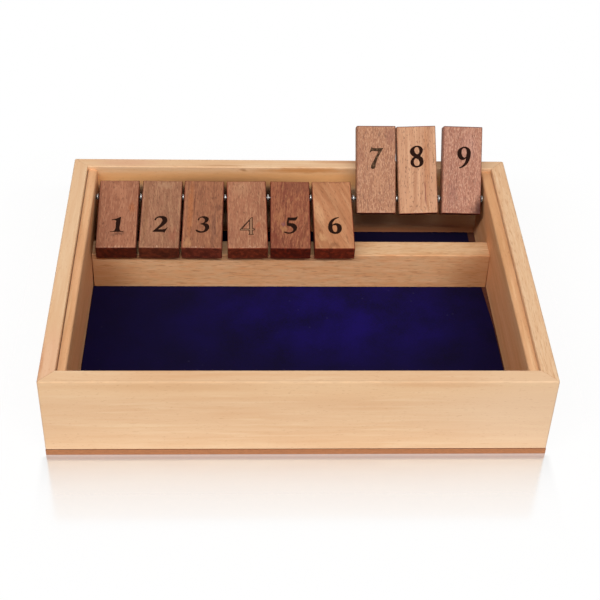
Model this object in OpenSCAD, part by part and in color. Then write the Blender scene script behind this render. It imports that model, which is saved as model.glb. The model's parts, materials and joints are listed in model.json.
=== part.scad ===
// Shut the box: an open wooden tray with nine numbered tiles that flip over on a steel rod.
// Sizes are in millimetres and angles in degrees.
// The origin is the centre of the underside. X runs along the row of tiles, with tile 1 at the
// left, +Y points to the back of the tray and +Z points up.

/* [Tray] */
// Depth of the tray, front to back
tray_d = 190; // [160:1:220]
// Height of the rim above the table
tray_h = 51; // [48:0.5:65]
// Thickness of the four outer walls
wall_t = 8.2; // [6:0.1:11]
// Thickness of the bottom panel
base_t = 3.6; // [2.4:0.1:5]

/* [Side liners] */
// Thickness of the board inside each side wall, which holds the rod
liner_t = 4.8; // [3.5:0.1:7]
// Glue gap between a side wall and its liner
liner_gap = 0.4; // [0.2:0.1:0.8]
// How far a liner's top edge lies below the rim
liner_drop = 2.4; // [0:0.1:4]

/* [Tiles] */
// Width of a tile, along the rod
tile_w = 22.8; // [18:0.1:28]
// Length of a tile
tile_len = 51; // [46:0.5:58]
// Thickness of a tile
tile_t = 8.9; // [7:0.1:10.5]
// From the rod's axis to the tile's heel, which is the end nearest the rod
tile_heel = 9; // [7:0.1:11]
// Slope of a tile that lies on the divider
lie_tilt = 12.5; // [8:0.5:16]
// How far a lying tile reaches past the divider's front edge, along the tile
tile_overhang = 2.6; // [1:0.1:4]
// Clearance between a resting tile and the edge that stops it
stop_gap = 0.15; // [0.1:0.05:0.3]

/* [Divider] */
// Thickness of the divider, front to back
divider_t = 13; // [9:0.1:16]

/* [Rod and washers] */
// Diameter of the steel rod
rod_d = 2; // [1.6:0.1:3]
// Radial clearance round the rod in the liners, tiles and washers
rod_play = 0.08; // [0.04:0.01:0.1]
// Depth of the rod's axis below the rim
rod_drop = 11; // [9:0.1:14]
// From the rod's axis to the inner face of the back wall
rod_back = 15.3; // [13.5:0.1:18]
// Outer diameter of a washer
washer_d = 4; // [3.6:0.1:6]
// Thickness of a washer
washer_t = 0.8; // [0.5:0.1:1.5]
// Mean free space on each side of a washer
washer_side = 0.7; // [0.5:0.05:1.2]

/* [Felt] */
// Thickness of the felt
felt_t = 0.6; // [0.4:0.1:1.5]
// Clearance between the felt's edges and the boards round it
felt_edge = 0.3; // [0.1:0.1:1]
// How far the tray felt stops short of the right liner at the divider
felt_skew_w = 2.5; // [0.5:0.1:5]
// How far forward of the divider that slanting cut runs
felt_skew_len = 35; // [10:1:60]
// How far the trough felt stops short of the right liner
felt_short = 4.2; // [1:0.1:15]

/* [Hidden] */
$fn = 48;
tile_count = 9;
// Tiles 1 to this number lie on the divider, and the others lean back on the back wall
tiles_down = 6;
// Where each tile has slid to along the rod, in shares of washer_side
tile_slide = [0.5, 0.3, -0.9, -1.4, -1.1, -2.0, -0.7, -1.2, -0.7];
// How far each tile's sides are out of square with its bore: positive turns its free end left
tile_skew = [-0.5, 0.6, 0.9, -1.0, 0.5, -0.4, 0.1, 2.0, -1.3];
// The dark hardwood differs a little from tile to tile
tile_tones = ["#a86e54", "#a07257", "#a0694d", "#aa7358", "#985e45",
              "#bb815d", "#bd896a", "#cd9978", "#bb8570"];

// The tray's width follows from the tiles, the washers between them, the liners and the walls
tile_gap = washer_t + 2 * washer_side;
tile_pitch = tile_w + tile_gap;
inner_x = (tile_count * tile_pitch + tile_gap) / 2;
liner_out = inner_x + liner_t;
tray_w = 2 * (liner_out + liner_gap + wall_t);
inner_y = tray_d / 2 - wall_t;

rod_y = inner_y - rod_back;
rod_z = tray_h - rod_drop;
bore_d = rod_d + 2 * rod_play;
felt_top = base_t + felt_t;

// The divider's front top edge carries the lying tiles
tile_reach = tile_len - tile_heel;
half_t = tile_t / 2 + stop_gap;
edge_along = tile_reach - tile_overhang;
divider_y = rod_y - edge_along * cos(lie_tilt) + half_t * sin(lie_tilt);
divider_top = rod_z - edge_along * sin(lie_tilt) - half_t * cos(lie_tilt);

// The back wall's inner top edge carries the standing tiles
lean = atan2(rod_back, rod_drop) - asin(half_t / norm([rod_back, rod_drop]));
// Turn about X that takes a level tile, its free end to the front, to each resting place
turn_down = lie_tilt;
turn_up = -(90 + lean);
flip_angle = turn_down - turn_up;
echo(tray_w = tray_w, rod_y = rod_y, rod_z = rod_z, divider_y = divider_y, divider_top = divider_top);
echo(lean = lean, flip_angle = flip_angle);

function tile_x(n) =
    (n - (tile_count + 1) / 2) * tile_pitch + tile_slide[n - 1] * washer_side;
// Middle of the gap after tile n, where n = 0 is the gap before the first tile
function gap_x(n) =
    let (from = n == 0 ? -inner_x : tile_x(n) + tile_w / 2,
         to = n == tile_count ? inner_x : tile_x(n + 1) - tile_w / 2)
    (from + to) / 2;

// A bar along X, its centre line on the rod's axis
module on_rod(length, diameter) {
    rotate([0, 90, 0]) cylinder(h = length, d = diameter, center = true);
}

module base_panel() {
    color("#b98060")
        translate([-tray_w / 2, -tray_d / 2, 0]) cube([tray_w, tray_d, base_t]);
}

// A wall of the frame, mitred at both ends, with its outer face on Y = 0 and its inner at +Y
module mitred_wall(length) {
    color("#e6bf94") translate([0, 0, base_t]) linear_extrude(tray_h - base_t)
        polygon([[-length / 2, 0], [length / 2, 0],
                 [length / 2 - wall_t, wall_t], [-length / 2 + wall_t, wall_t]]);
}

module wall_front() { translate([0, -tray_d / 2, 0]) mitred_wall(tray_w); }
module wall_back() { translate([0, tray_d / 2, 0]) rotate(180) mitred_wall(tray_w); }
module wall_left() { translate([-tray_w / 2, 0, 0]) rotate(-90) mitred_wall(tray_d); }
module wall_right() { translate([tray_w / 2, 0, 0]) rotate(90) mitred_wall(tray_d); }

// A liner board stands on the base panel, drilled through for the rod's end
module liner(side) {
    color("#d9a878") difference() {
        translate([side * (inner_x + liner_t / 2), 0, (base_t + tray_h - liner_drop) / 2])
            cube([liner_t, 2 * inner_y, tray_h - liner_drop - base_t], center = true);
        translate([side * inner_x, rod_y, rod_z]) on_rod(4 * liner_t, bore_d);
    }
}

module liner_left() { liner(-1); }
module liner_right() { liner(1); }

module divider() {
    color("#d0a078") translate([-inner_x, divider_y, base_t])
        cube([2 * inner_x, divider_t, divider_top - base_t]);
}

// The tray felt's right edge is cut askew, so it leaves a sliver of the panel bare
module felt_tray() {
    right = inner_x - felt_edge;
    front = -inner_y + felt_edge;
    back = divider_y - felt_edge;
    color("#1b1340") translate([0, 0, base_t]) linear_extrude(felt_t)
        polygon([[-right, front], [right, front], [right, divider_y - felt_skew_len],
                 [inner_x - felt_skew_w, back], [-right, back]]);
}

module felt_trough() {
    left = -inner_x + felt_edge;
    front = divider_y + divider_t + felt_edge;
    color("#141028") translate([left, front, base_t])
        cube([inner_x - felt_short - left, inner_y - felt_edge - front, felt_t]);
}

// The rod runs through both liners and is shut in by the side walls
module hinge_rod() {
    color("#c4c6ca") translate([0, rod_y, rod_z]) on_rod(2 * liner_out, rod_d);
}

module washers() {
    color("#d2d4d8") for (n = [0:tile_count])
        translate([gap_x(n), rod_y, rod_z]) difference() {
            on_rod(washer_t, washer_d);
            on_rod(2 * washer_t, bore_d);
        }
}

module tile(n) {
    color(tile_tones[n - 1])
        translate([tile_x(n), rod_y, rod_z])
        rotate([n <= tiles_down ? turn_down : turn_up, 0, 0])
        difference() {
            rotate(-tile_skew[n - 1]) translate([-tile_w / 2, -tile_reach, -tile_t / 2])
                cube([tile_w, tile_len, tile_t]);
            on_rod(2 * tile_w, bore_d);
        }
}

base_panel();
wall_front();
wall_back();
wall_left();
wall_right();
liner_left();
liner_right();
divider();
felt_tray();
felt_trough();
hinge_rod();
washers();
for (n = [1:tile_count]) tile(n);
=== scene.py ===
import json
import math

import bmesh
import bpy
from bpy.props import FloatProperty, FloatVectorProperty, IntProperty, PointerProperty
from mathutils import Matrix, Vector


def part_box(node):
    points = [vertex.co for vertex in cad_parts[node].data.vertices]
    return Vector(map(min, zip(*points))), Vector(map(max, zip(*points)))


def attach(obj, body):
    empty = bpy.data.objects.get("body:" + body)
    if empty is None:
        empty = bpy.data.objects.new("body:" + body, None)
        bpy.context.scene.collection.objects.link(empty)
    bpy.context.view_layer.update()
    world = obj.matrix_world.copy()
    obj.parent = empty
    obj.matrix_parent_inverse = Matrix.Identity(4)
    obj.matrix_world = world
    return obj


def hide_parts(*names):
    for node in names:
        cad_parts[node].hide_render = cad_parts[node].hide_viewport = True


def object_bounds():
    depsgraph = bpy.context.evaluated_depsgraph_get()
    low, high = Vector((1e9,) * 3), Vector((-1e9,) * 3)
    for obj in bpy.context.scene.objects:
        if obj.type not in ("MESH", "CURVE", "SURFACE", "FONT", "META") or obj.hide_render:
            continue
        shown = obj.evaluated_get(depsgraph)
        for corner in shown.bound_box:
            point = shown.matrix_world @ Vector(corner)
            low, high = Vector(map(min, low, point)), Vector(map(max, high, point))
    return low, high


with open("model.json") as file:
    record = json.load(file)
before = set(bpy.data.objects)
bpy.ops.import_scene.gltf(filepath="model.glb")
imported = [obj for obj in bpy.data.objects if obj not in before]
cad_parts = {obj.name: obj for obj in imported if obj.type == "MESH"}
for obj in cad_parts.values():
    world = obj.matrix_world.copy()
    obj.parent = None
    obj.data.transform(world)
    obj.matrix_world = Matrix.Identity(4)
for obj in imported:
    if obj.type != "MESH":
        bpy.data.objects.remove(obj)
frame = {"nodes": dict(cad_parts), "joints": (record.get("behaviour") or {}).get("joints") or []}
cad_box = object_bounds()

bl_info = {
    "name": "Shut the box tray",
    "version": (1, 0, 0),
    "blender": (4, 5, 0),
    "location": "3D View > Sidebar > Shut the box",
    "description": "Dresses the tray, its rod and its nine numbered tiles in wood, felt, steel and ink",
    "category": "Object",
}

MM = 0.001
# Points closer than WELD are joined, and a point within NEAR of a plane lies in it
WELD = 0.001 * MM
NEAR = 0.01 * MM
# Flat faces that meet at more than SHARP make an edge to round, and those of a turned piece at more than
# SQUARE
SHARP = math.radians(30)
SQUARE = math.radians(60)
# The rims of the holes for the rod lie within this radius of its axis
BORE_REACH = 1.5 * MM

# Each wall and the way out of the tray through it
WALLS = {"wall_front": (0, -1), "wall_back": (0, 1), "wall_left": (-1, 0), "wall_right": (1, 0)}
TILES = range(1, 10)

# Side of the floor in metres
FLOOR_SPAN = 8.0
# The floor's gloss: its share at the tray's foot, the distance over which it fades, and its roughness
GLOSS_SHARE = 0.6
GLOSS_FADE = 30 * MM
GLOSS_ROUGH = 0.14
# The floor's white glow is painted darker, down to DIM_LEVEL, in front of the tray and behind it, as painted
# shade that deepens the tray's reflection there. The dimming is whole from DIM_FOOT away, ends within
# DIM_CORNER past the tray's sides, and fades as the gloss does to the power of DIM_POWER.
DIM_LEVEL = 0.58
DIM_FOOT = 2 * MM
DIM_CORNER = 3 * MM
DIM_POWER = 3.0
# The glow's share next to the tray, where the lit floor and its shadow show through, and the distance in
# metres from which the glow is whole
GLOW_SHARE = 0.85
GLOW_FULL = 0.10
# The lamp's place and its two sides in metres
LAMP_AT = (-0.3, -2.61, 3.54)
LAMP_SIZE = (10.0, 0.5)
# The camera's place in metres and its turns in radians, from the tray's corners in the photograph
CAMERA_AT = (-0.02759, -0.55953, 0.49627)
CAMERA_YAW = -0.0556
CAMERA_PITCH = math.pi / 2 - 0.7019
CAMERA_ROLL = 0.038


def linear(code):
    """An sRGB hex colour as the linear red, green and blue that Blender works in."""
    parts = [int(code[i:i + 2], 16) / 255 for i in (1, 3, 5)]
    return tuple(c / 12.92 if c <= 0.04045 else ((c + 0.055) / 1.055) ** 2.4 for c in parts)


# Settings

def colour(name, about, code):
    return FloatVectorProperty(name=name, description=about, subtype="COLOR", size=3, min=0, max=1,
                               default=linear(code))


def length(name, about, mm):
    return FloatProperty(name=name, description=about, subtype="DISTANCE", unit="LENGTH", min=0,
                         precision=5, default=mm * MM)


class SHUTBOX_PG_tray(bpy.types.PropertyGroup):
    """Sizes and colours of the wooden tray."""
    rim_ease: length("Rim rounding", "Radius along the rim", 0.5)
    corner_ease: length("Corner rounding", "Radius down the four outer corners", 1.0)
    liner_ease: length("Liner rounding", "Radius of the liners' inner top edge", 1.1)
    board_ease: length("Board rounding", "Radius of the divider's edges", 0.45)
    panel_ease: length("Panel rounding", "Radius of the bottom panel's edges", 0.25)
    wall: colour("Walls", "Wood of the walls", "#e9c39b")
    wall_light: colour("Wall, pale grain", "Pale streaks in the walls", "#f3d5af")
    wall_dark: colour("Wall, dark grain", "Darker bands in the walls", "#dfb084")
    wall_fleck: colour("Wall flecks", "Short flecks in the walls", "#ba8158")
    liner: colour("Liners", "Wood of the liners", "#e4b387")
    liner_light: colour("Liner, pale grain", "Pale streaks in the liners", "#f6d3a4")
    liner_dark: colour("Liner, dark grain", "Darker bands in the liners", "#c08a56")
    liner_fleck: colour("Liner flecks", "Short flecks in the liners", "#8c5029")
    divider: colour("Divider", "Wood of the divider", "#deb88e")
    divider_light: colour("Divider, pale grain", "Pale streaks in the divider", "#f0cba2")
    divider_dark: colour("Divider, dark grain", "Darker bands in the divider", "#d29d6d")
    divider_fleck: colour("Divider flecks", "Short flecks in the divider", "#a05f30")
    panel_edge: colour("Panel edge", "Sawn edge of the bottom panel", "#ab724c")
    panel_face: colour("Panel face", "Pressed face of the bottom panel", "#552f22")
    seam: length("Seam", "Half of the fine gap left at the mitres", 0.07)


class SHUTBOX_PG_tiles(bpy.types.PropertyGroup):
    """Sizes and colours of the tiles and their numerals."""
    edge_ease: length("Edge rounding", "Radius of a tile's edges", 0.4)
    ink: colour("Ink", "Stamped ink of the numerals", "#25140e")
    ink_rim: colour("Ink rim", "Brown edge where the ink has soaked in", "#371e13")
    ink_height: length("Ink height", "How far the ink stands above the wood", 0.02)
    rim_width: length("Ink rim width", "Width of the brown edge of a numeral", 0.22)
    bare_rim: length("Bare rim width", "Width of the dark edge of the numeral without ink", 0.42)
    from_end: length("Numeral from end", "From a tile's free end to its numeral's middle", 17.7)


class SHUTBOX_PG_felt(bpy.types.PropertyGroup):
    """Colours and edge of the felt."""
    tone: colour("Felt", "Blue wool of the felt", "#1c125a")
    # The shade colour is the felt's darker fibres and also the painted shade it darkens to away from its
    # middle
    shade: colour("Felt shade", "Darker fibres of the felt", "#140f2a")
    # The trough felt is the same wool, painted darker and less blue as shade in the trough
    trough: colour("Trough felt", "Blue wool of the felt in the trough", "#120e2f")
    lint: colour("Lint", "Pale specks of lint on the felt", "#8d8aa6")
    edge_ease: length("Edge rounding", "Radius of the felt's upper edges", 0.25)


class SHUTBOX_PG_steel(bpy.types.PropertyGroup):
    """Sizes and colours of the rod and washers."""
    rod_tone: colour("Rod", "Drawn steel of the rod", "#6c6c6e")
    washer_tone: colour("Washers", "Zinc-plated steel of the washers", "#c2c0bc")
    rod_ease: length("Rod rounding", "Radius of the rod's two end edges", 0.15)
    washer_ease: length("Washer rounding", "Radius of a washer's edges", 0.12)
    around: IntProperty(name="Steps round", description="Steps round the rod and the washers", default=48,
                        min=12, max=128)


class SHUTBOX_PG_stage(bpy.types.PropertyGroup):
    """The floor, the light and the camera."""
    floor: colour("Floor", "Pale floor under the white glow", "#b2b2b2")
    key_power: FloatProperty(name="Key light", description="Power of the large soft lamp", default=303, min=0,
                             unit="POWER")
    fill: FloatProperty(name="Fill", description="Strength of the light from all round", default=0.2, min=0)
    fill_tone: colour("Fill colour", "Warm light thrown back by the room", "#ffe9d8")
    lens: FloatProperty(name="Lens", description="Focal length of the camera", default=79.72, min=1,
                        unit="CAMERA")


# Meshes and materials

def node_copy(name):
    """A CAD node's mesh with its triangles joined and each flat face whole."""
    bm = bmesh.new()
    bm.from_mesh(frame["nodes"][name].data)
    bmesh.ops.remove_doubles(bm, verts=bm.verts, dist=WELD)
    bmesh.ops.dissolve_limit(bm, angle_limit=math.radians(1), verts=bm.verts, edges=bm.edges,
                             use_dissolve_boundaries=False, delimit=set())
    return bm


def move_into(source, target):
    """Adds the faces of one mesh to another and frees the first."""
    mesh = bpy.data.meshes.new("part")
    source.to_mesh(mesh)
    source.free()
    target.from_mesh(mesh)
    bpy.data.meshes.remove(mesh)


def ease(bm, edges, radius, segments):
    """Rounds the edges."""
    bmesh.ops.bevel(bm, geom=list(edges), offset=radius, offset_type="OFFSET", affect="EDGES",
                    segments=segments, profile=0.5, material=-1, clamp_overlap=True)


def sharp_edges(bm):
    """The edges where two flat faces meet, without the rims of the hole for the rod."""
    y, z = frame["joints"][0]["pos_m"][1:]
    return [e for e in bm.edges if len(e.link_faces) == 2 and e.calc_face_angle() > SHARP and
            any(math.hypot(v.co.y - y, v.co.z - z) > BORE_REACH for v in e.verts)]


def new_piece(name, bm, materials, body, nodes=(), smooth=False):
    """Makes the mesh a piece that rides on a body and stands for CAD nodes."""
    bmesh.ops.recalc_face_normals(bm, faces=bm.faces)
    mesh = bpy.data.meshes.new(name)
    bm.to_mesh(mesh)
    bm.free()
    if smooth:
        mesh.shade_smooth()
        mesh.set_sharp_from_angle(angle=math.radians(35))
    for material in materials:
        mesh.materials.append(material)
    piece = bpy.data.objects.new(name, mesh)
    bpy.context.scene.collection.objects.link(piece)
    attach(piece, body)
    if nodes:
        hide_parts(*nodes)
    return piece


def span(points):
    """The lowest and highest corner of the box round some points."""
    return [Vector([pick(p[i] for p in points) for i in range(3)]) for pick in (min, max)]


def grain_frame(along, normal, origin=(0, 0, 0)):
    """A board's own directions: X along its grain, Z out of its broad face."""
    x = Vector(along).normalized()
    z = Vector(normal).normalized()
    turn = Matrix((x, z.cross(x), z)).transposed()
    return Matrix.Translation(Vector(origin)) @ turn.to_4x4()


def fill(tree, node, inputs):
    """Links a node's inputs to sockets or sets their values."""
    for key, value in inputs.items():
        if isinstance(value, bpy.types.NodeSocket):
            tree.links.new(value, node.inputs[key])
        else:
            node.inputs[key].default_value = value


def add_node(tree, kind, settings, inputs, out=0):
    """Adds a node with its settings and inputs, and gives one of its outputs."""
    node = tree.nodes.new(kind)
    for key, value in settings.items():
        setattr(node, key, value)
    fill(tree, node, inputs)
    return node.outputs[out]


def start_material(name):
    """A new material, its node tree, its Principled shader and the point on the object that is drawn."""
    material = bpy.data.materials.new(name)
    material.use_nodes = True
    tree = material.node_tree
    point = add_node(tree, "ShaderNodeTexCoord", {}, {}, "Object")
    return material, tree, tree.nodes["Principled BSDF"], point


# Settings that many nodes share. A colour mix takes its share at input 0 and its two colours at inputs 6
# and 7, and gives the colour at output 2.
SOFT = {"interpolation_type": "SMOOTHSTEP"}
COLOURS = {"data_type": "RGBA"}
PLACED = {"vector_type": "TEXTURE"}
MULTIPLY = {"operation": "MULTIPLY"}
MULTIPLY_ADD = {"operation": "MULTIPLY_ADD"}

# Streaks of a wood: their length and width in mm, the noise levels where they start and are full, the
# tone that they bring (0 light, 1 dark, 2 pores) and how strongly. The last row is always the finest, and
# patches lie under it. Real pores and flecks are about 0.1 mm wide, and here they are drawn coarser, 0.5 mm
# and more, so that they show.
# Pine gives the eye long, faint growth bands and short brown flecks. The sanded liners and the lacquered
# walls are calmer than the divider and the right wall.
PINE = ((70, 9, 0.42, 0.64, 1, 0.45), (30, 1.8, 0.46, 0.68, 1, 0.40), (22, 1.4, 0.50, 0.70, 0, 0.50),
        (6, 0.8, 0.51, 0.67, 1, 0.42), (6, 0.5, 0.55, 0.67, 2, 0.40))
SMOOTH_PINE = ((95, 12, 0.40, 0.66, 1, 0.40), (50, 3.0, 0.46, 0.70, 1, 0.35), (45, 2.6, 0.50, 0.72, 0, 0.40),
                (11, 0.9, 0.52, 0.70, 1, 0.22), (2.4, 0.6, 0.60, 0.72, 2, 0.25))
# Oiled sapele gives broken ribbons of light and dark and open dark pores. Tile 6 is smoother, tile 8 has
# straight bands with bold pores, and tiles 7 and 9 are speckled.
SAPELE = ((60, 6.0, 0.40, 0.66, 1, 0.50), (14, 1.6, 0.46, 0.68, 1, 0.45), (12, 1.2, 0.50, 0.70, 0, 0.45),
          (4.0, 0.7, 0.50, 0.66, 0, 0.50), (4.0, 0.7, 0.50, 0.66, 1, 0.50), (2.4, 0.5, 0.56, 0.68, 2, 0.60))
SMOOTH_SAPELE = ((60, 6.0, 0.40, 0.66, 1, 0.50), (40, 2.5, 0.46, 0.68, 0, 0.35),
                 (25, 1.5, 0.50, 0.70, 1, 0.30), (5.0, 0.7, 0.50, 0.68, 1, 0.20),
                 (3.0, 0.6, 0.57, 0.68, 2, 0.40))
PORED_SAPELE = ((60, 6.0, 0.40, 0.66, 1, 0.60), (40, 2.5, 0.46, 0.68, 0, 0.50),
                (25, 1.5, 0.50, 0.70, 1, 0.50), (5.0, 0.7, 0.50, 0.68, 1, 0.30),
                (2.0, 0.8, 0.57, 0.67, 2, 0.65))
SPECKLED_SAPELE = ((60, 6.0, 0.40, 0.66, 1, 0.55), (14, 1.6, 0.46, 0.68, 1, 0.50),
                   (5.0, 1.5, 0.50, 0.64, 0, 0.40), (1.6, 0.7, 0.49, 0.62, 0, 0.70),
                   (1.8, 0.7, 0.49, 0.62, 1, 0.65), (2.2, 0.6, 0.55, 0.67, 2, 0.60))
# Tiles with these streaks have side faces as pale as their broad faces. The others' sides are dark, painted
# shade for the gaps between the lying tiles.
PALE_SIDED = (PORED_SAPELE, SPECKLED_SAPELE)
# The ends soak up more oil and give dark, broad soft clouds and a few pores
END_GRAIN = ((18, 4.0, 0.42, 0.60, 1, 0.85), (12, 2.2, 0.48, 0.64, 0, 0.60), (5, 0.5, 0.55, 0.70, 2, 0.40))
# The light, dark and pore tones of the ends as shares of their base colour, and the pore tone of the broad
# faces as a share of their dark one
END_TONES = (1.9, 0.6, 0.3)
PORE_TONE = 0.45

# Each seed shifts a wood's noise by these steps, so that no two boards are alike
STREAK_STEPS = (71.3, 23.7, 13.1)
BOARD_STEPS = (31.7, 17.9, 11.3)
# Size in mm of the waves in the grain, and of the tongues that fray a patch's outline
WAVE_SIZE = (45, 14, 14)
TONGUE_SIZE = (7, 1.6, 1.6)
# How far in mm the tongues reach along and across the grain
TONGUE_REACH = (9.0, 2.4, 0)
# The raised fibres that catch the light, as streaks without a tone. They are drawn coarser too.
RAISED = (14, 0.5, 0.3, 0.7, 1.0)


def streaks(tree, grain, seed, length, width, start, full, most):
    """A mask of streaks that run with the grain."""
    shift = [seed * step for step in STREAK_STEPS]
    long = add_node(tree, "ShaderNodeMapping", {},
                    {"Vector": grain, "Location": shift, "Scale": (1 / length, 1 / width, 1 / width)})
    noise = add_node(tree, "ShaderNodeTexNoise", {}, {"Vector": long, "Scale": 1.0, "Detail": 3.0})
    return add_node(tree, "ShaderNodeMapRange", SOFT,
                    {"Value": noise, "From Min": start, "From Max": full, "To Min": 0.0, "To Max": most})


def drift(tree, place, seed, sizes):
    """A soft random vector round 0.5 that changes over these sizes in mm."""
    shift = [seed * step for step in BOARD_STEPS]
    wide = add_node(tree, "ShaderNodeMapping", {},
                    {"Vector": place, "Location": shift, "Scale": [1 / size for size in sizes]})
    return add_node(tree, "ShaderNodeTexNoise", {}, {"Vector": wide, "Scale": 1.0, "Detail": 2.0}, "Color")


def wood(name, board, base, tones, layers, seed, slant=0.0, bend=3.0, patches=(), rough=0.5):
    """Solid wood in millimetres along the board's own directions: a base colour, streaks with the grain,
    soft-edged patches and, last, its finest streaks. A patch is its place along and across the board, half
    length, half width, turn in degrees, colour and strength, and where it doesn't go right through the board
    also its depth and half thickness."""
    material, tree, shader, point = start_material(name)
    place = add_node(tree, "ShaderNodeMapping", PLACED,
                     {"Vector": point, "Location": board.translation, "Rotation": board.to_euler(),
                      "Scale": (MM, MM, MM)})
    straight = add_node(tree, "ShaderNodeMapping", PLACED,
                        {"Vector": place, "Rotation": (0, 0, math.radians(slant))})
    grain = add_node(tree, "ShaderNodeVectorMath", MULTIPLY_ADD,
                     {0: drift(tree, straight, seed, WAVE_SIZE), 1: (0, bend, bend), 2: straight})
    tongues = add_node(tree, "ShaderNodeVectorMath", {"operation": "SUBTRACT"},
                       {0: drift(tree, place, seed, TONGUE_SIZE), 1: (0.5, 0.5, 0.5)})
    frayed = add_node(tree, "ShaderNodeVectorMath", MULTIPLY_ADD, {0: tongues, 1: TONGUE_REACH, 2: place})
    tone = (*base, 1)
    for index, spot in enumerate((*layers[:-1], *patches, layers[-1])):
        # A row of streaks has six entries, and a patch has more
        if len(spot) > 6:
            along, across, reach, half, turn, code, most, *deep = spot
            depth, thick = deep or (0, 1000)
            spread = add_node(tree, "ShaderNodeMapping", PLACED,
                              {"Vector": frayed, "Location": (along, across, depth),
                               "Rotation": (0, 0, math.radians(turn)), "Scale": (reach, half, thick)})
            away = add_node(tree, "ShaderNodeVectorMath", {"operation": "LENGTH"}, {0: spread}, "Value")
            mask = add_node(tree, "ShaderNodeMapRange", SOFT,
                            {"Value": away, "From Min": 1.0, "From Max": 0.25, "To Min": 0.0, "To Max": most})
            other = linear(code)
        else:
            length, width, start, full, which, most = spot
            mask = streaks(tree, grain, seed + 1.9 * index, length, width, start, full, most)
            other = tones[which]
        tone = add_node(tree, "ShaderNodeMix", COLOURS, {0: mask, 6: tone, 7: (*other, 1)}, 2)
    fibres = streaks(tree, grain, seed + 5.3, *RAISED)
    height = add_node(tree, "ShaderNodeMath", {"operation": "SUBTRACT"}, {0: fibres, 1: mask})
    gloss = add_node(tree, "ShaderNodeMapRange", {}, {"Value": fibres, "To Min": rough - 0.06,
                                                      "To Max": rough + 0.08})
    bump = add_node(tree, "ShaderNodeBump", {}, {"Strength": 0.3, "Distance": 0.1 * MM, "Height": height})
    fill(tree, shader, {"Base Color": tone, "Roughness": gloss, "Normal": bump, "Specular IOR Level": 0.2})
    return material


def fibreboard(name, tone):
    """Hardboard pressed from reddish wood fibre: matt, with short tangled fibres and dark specks. Real fibres
    are about 0.1 mm thick, and these are drawn coarser so that they show."""
    material, tree, shader, point = start_material(name)
    wool = add_node(tree, "ShaderNodeMapping", {},
                    {"Vector": point, "Scale": (1 / (2.5 * MM), 1 / (2.5 * MM), 1 / (0.7 * MM))})
    fibres = add_node(tree, "ShaderNodeTexNoise", {}, {"Vector": wool, "Scale": 1.0, "Detail": 6.0,
                                                       "Roughness": 0.7, "Distortion": 1.2})
    share = add_node(tree, "ShaderNodeMapRange", {}, {"Value": fibres, "From Min": 0.3, "From Max": 0.7})
    mix = add_node(tree, "ShaderNodeMix", COLOURS,
                   {0: share, 6: (*[c * 0.78 for c in tone], 1), 7: (*[c * 1.16 for c in tone], 1)}, 2)
    bump = add_node(tree, "ShaderNodeBump", {}, {"Strength": 0.4, "Distance": 0.1 * MM, "Height": fibres})
    fill(tree, shader, {"Base Color": mix, "Roughness": 0.8, "Normal": bump, "Specular IOR Level": 0.25})
    return material


def felt(name, tone, shade, lint):
    """Needled wool felt: dead matt, a tangle of fibres without a weave, darkened away from its middle by
    painted shade, with a few faint tufts of lint. Wool fibres are about 0.02 mm thick, and the tangle is
    drawn coarser, 0.9 mm across, so that it shows."""
    material, tree, shader, point = start_material(name)
    tangle = add_node(tree, "ShaderNodeTexNoise", {}, {"Vector": point, "Scale": 1 / (0.9 * MM),
                                                       "Detail": 6.0, "Roughness": 0.75, "Distortion": 1.5})
    clouds = add_node(tree, "ShaderNodeTexNoise", {}, {"Vector": point, "Scale": 1 / (24 * MM),
                                                       "Detail": 3.0})
    nap = add_node(tree, "ShaderNodeMath", MULTIPLY_ADD, {0: clouds, 1: 0.9, 2: tangle})
    blue = add_node(tree, "ShaderNodeMapRange", {}, {"Value": nap, "From Min": 0.72, "From Max": 1.18})
    # Painted shade: the felt darkens towards its shade colour away from a point near its middle
    middle = add_node(tree, "ShaderNodeMapping", PLACED,
                      {"Vector": point, "Location": (28 * MM, 9 * MM, 0), "Scale": (120 * MM, 60 * MM, 1)})
    away = add_node(tree, "ShaderNodeVectorMath", {"operation": "LENGTH"}, {0: middle}, "Value")
    painted_falloff = add_node(tree, "ShaderNodeMapRange", SOFT, {"Value": away, "To Min": 1.15, "To Max": 0.2})
    share = add_node(tree, "ShaderNodeMath", MULTIPLY, {0: blue, 1: painted_falloff})
    mix = add_node(tree, "ShaderNodeMix", COLOURS, {0: share, 6: (*shade, 1), 7: (*tone, 1)}, 2)
    cells = add_node(tree, "ShaderNodeTexVoronoi", {}, {"Vector": point, "Scale": 1 / (9 * MM),
                                                        "Randomness": 1.0}, "Distance")
    speck = add_node(tree, "ShaderNodeMapRange", SOFT,
                     {"Value": cells, "From Min": 0.09, "From Max": 0.02, "To Min": 0.0, "To Max": 0.045})
    mix = add_node(tree, "ShaderNodeMix", COLOURS, {0: speck, 6: mix, 7: (*lint, 1)}, 2)
    bump = add_node(tree, "ShaderNodeBump", {}, {"Strength": 0.7, "Distance": 0.25 * MM, "Height": tangle})
    fill(tree, shader, {"Base Color": mix, "Roughness": 1.0, "Normal": bump, "Specular IOR Level": 0.0,
                        "Sheen Weight": 0.01, "Sheen Roughness": 0.6})
    return material


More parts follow.
